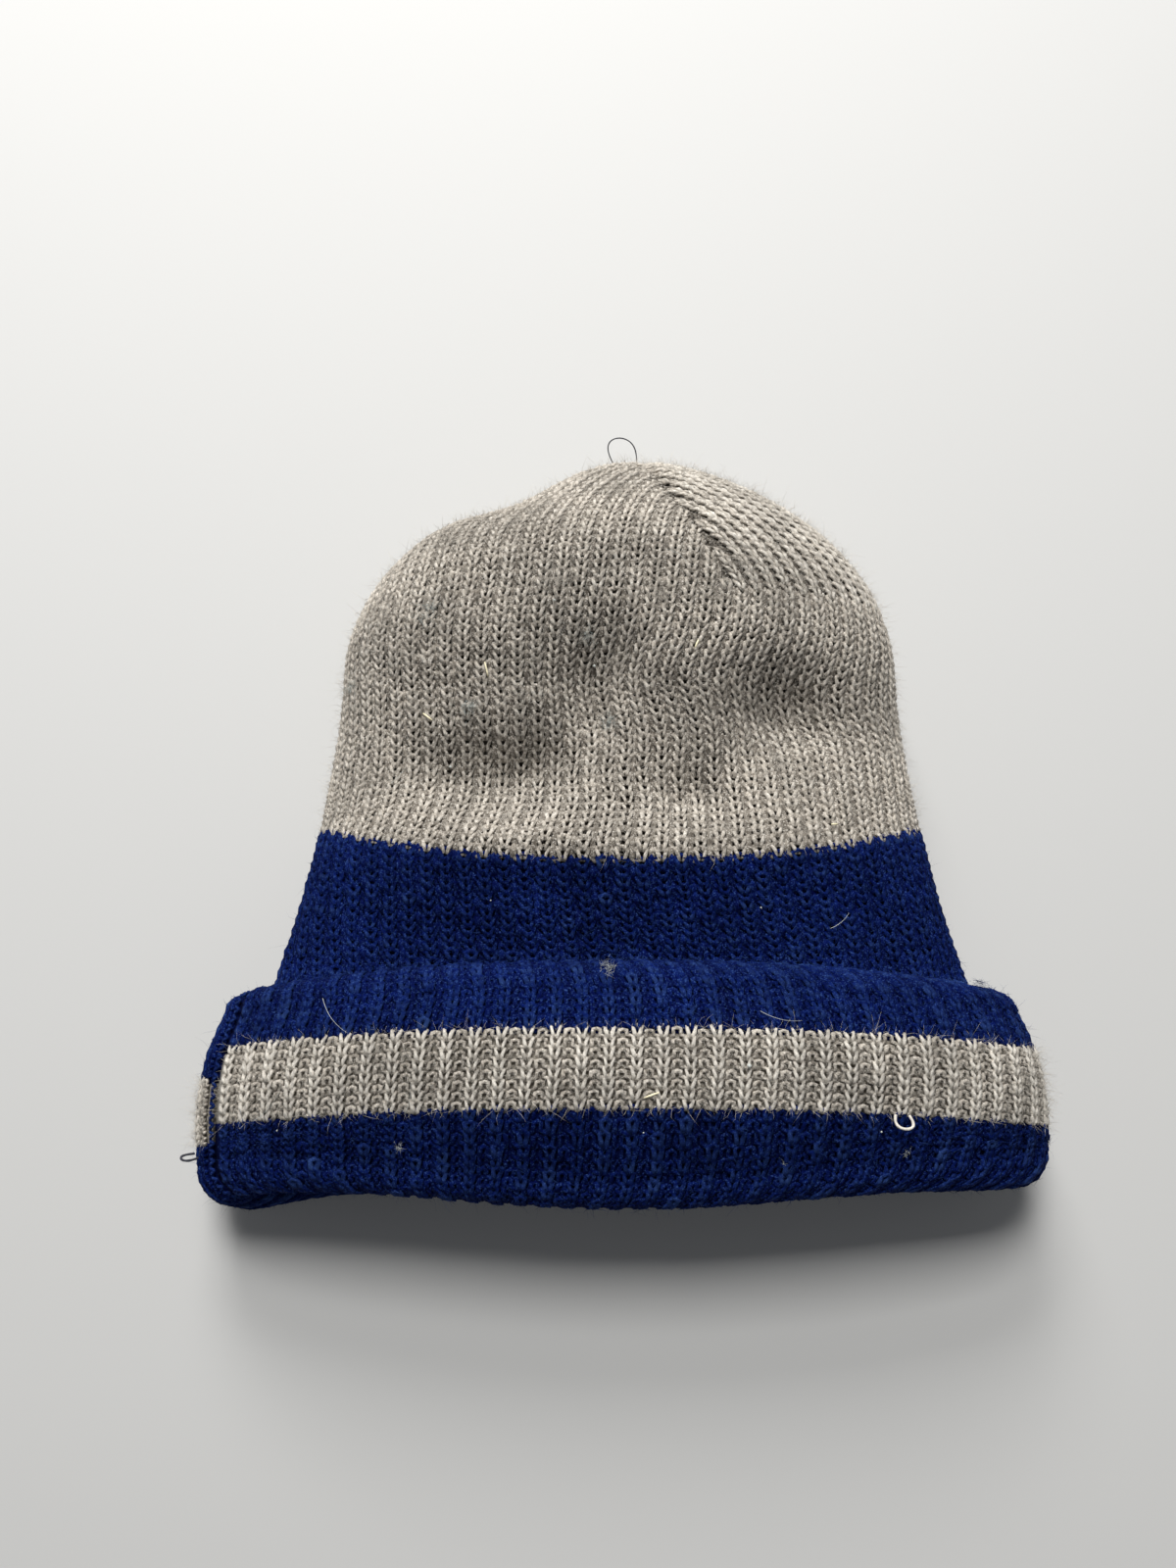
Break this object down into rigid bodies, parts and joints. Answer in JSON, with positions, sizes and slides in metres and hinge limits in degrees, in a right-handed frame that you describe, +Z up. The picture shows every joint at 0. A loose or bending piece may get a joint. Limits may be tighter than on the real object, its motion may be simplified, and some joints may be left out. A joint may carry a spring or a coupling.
{
  "type": "knit beanie",
  "caption": "Double-layer ribbed knit beanie lying on its back, with a darted crown and a turned-up cuff that carries a contrasting stripe.",
  "frame": {"origin": "middle of the hat's footprint, on the table it lies on", "axes": "+X toward the hat's right side as worn flat on its back, +Y from the mouth to the crown tip, +Z up from the table"},
  "size_m": [0.2545, 0.2424, 0.0648],
  "materials": {
    "taupe_knit": "heathered wool rib, brushed and fuzzy",
    "navy_knit": "wool rib, matt, slightly fuzzy",
    "taupe_lining_knit": "heathered wool rib, brushed and fuzzy",
    "navy_lining_knit": "wool rib, matt",
    "seam_yarn": "matt wool yarn",
    "navy_seam_yarn": "matt wool yarn",
    "taupe_yarn": "matt wool yarn",
    "navy_yarn": "matt wool yarn",
    "tail_yarn": "fine dark thread"
  },
  "bodies": {
    "root": {"crown_gore_front": "taupe_knit", "crown_gore_left": "taupe_knit", "crown_gore_right": "taupe_knit", "crown_wall": "taupe_knit", "body_band": "navy_knit", "cuff_hidden_ply": "navy_knit", "cuff_upper_band": "navy_knit", "cuff_stripe": "taupe_knit", "cuff_lower_band": "navy_knit", "lining_band": "navy_lining_knit", "lining_wall": "taupe_lining_knit", "lining_gore_front": "taupe_lining_knit", "lining_gore_left": "taupe_lining_knit", "lining_gore_right": "taupe_lining_knit", "dart_seam_front": "seam_yarn", "dart_seam_left": "seam_yarn", "dart_seam_right": "seam_yarn", "lining_dart_seam_front": "seam_yarn", "lining_dart_seam_left": "seam_yarn", "lining_dart_seam_right": "seam_yarn", "shell_side_seam": "navy_seam_yarn", "hidden_side_seam": "navy_seam_yarn", "cuff_side_seam": "navy_seam_yarn", "lining_side_seam": "seam_yarn", "crown_gather": "taupe_knit", "lining_gather": "taupe_lining_knit", "crown_yarn_tail": "tail_yarn", "stripe_snag_loop": "taupe_yarn", "corner_snag_loop": "navy_yarn"}
  },
  "joints": []
}
